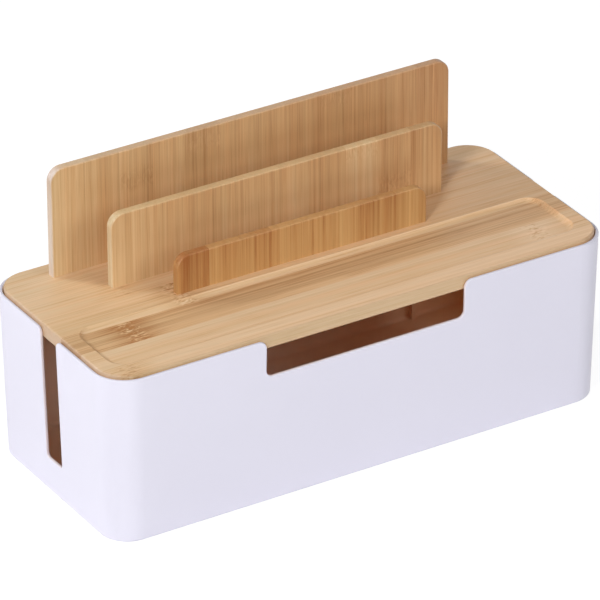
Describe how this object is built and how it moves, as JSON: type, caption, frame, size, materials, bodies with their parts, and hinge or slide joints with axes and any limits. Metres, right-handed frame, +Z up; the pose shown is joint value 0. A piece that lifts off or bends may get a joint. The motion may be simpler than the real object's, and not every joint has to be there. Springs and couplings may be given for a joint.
{
  "type": "cable management box",
  "caption": "White cable management box with cable openings in its walls and a lift-off bamboo lid that carries a shallow tray and stepped upright dividers.",
  "frame": {"origin": "on the table plane under the middle of the box, at the bottom of its feet", "axes": "+X along the box towards its right end, -Y to the front wall with the notch, +Z up"},
  "size_m": [0.4, 0.171, 0.2127],
  "materials": {
    "shell_plastic": "satin moulded, white with a cool tint",
    "lid_bamboo": "sanded bamboo strips, grain along the box, thin matt lacquer",
    "divider_bamboo": "sanded bamboo strips, grain upright, thin matt lacquer",
    "front_bamboo": "sanded bamboo strips, grain upright, slightly warmer, thin matt lacquer",
    "screw_zinc": "bright zinc",
    "foot_rubber": "matt"
  },
  "bodies": {
    "box": {"box_shell": "shell_plastic", "foot_front_left": "foot_rubber", "foot_front_right": "foot_rubber", "foot_rear_left": "foot_rubber", "foot_rear_right": "foot_rubber"},
    "lid": {"lid_board": "lid_bamboo", "rear_divider": "divider_bamboo", "middle_divider": "divider_bamboo", "front_divider": "front_bamboo", "rear_divider_screws": "screw_zinc", "middle_divider_screws": "screw_zinc", "front_divider_screws": "screw_zinc"}
  },
  "joints": [
    {"name": "lid_lift", "type": "slide", "parent": "box", "child": "lid", "axis": [0, 0, 1], "range_m": [0, 0.15]}
  ]
}
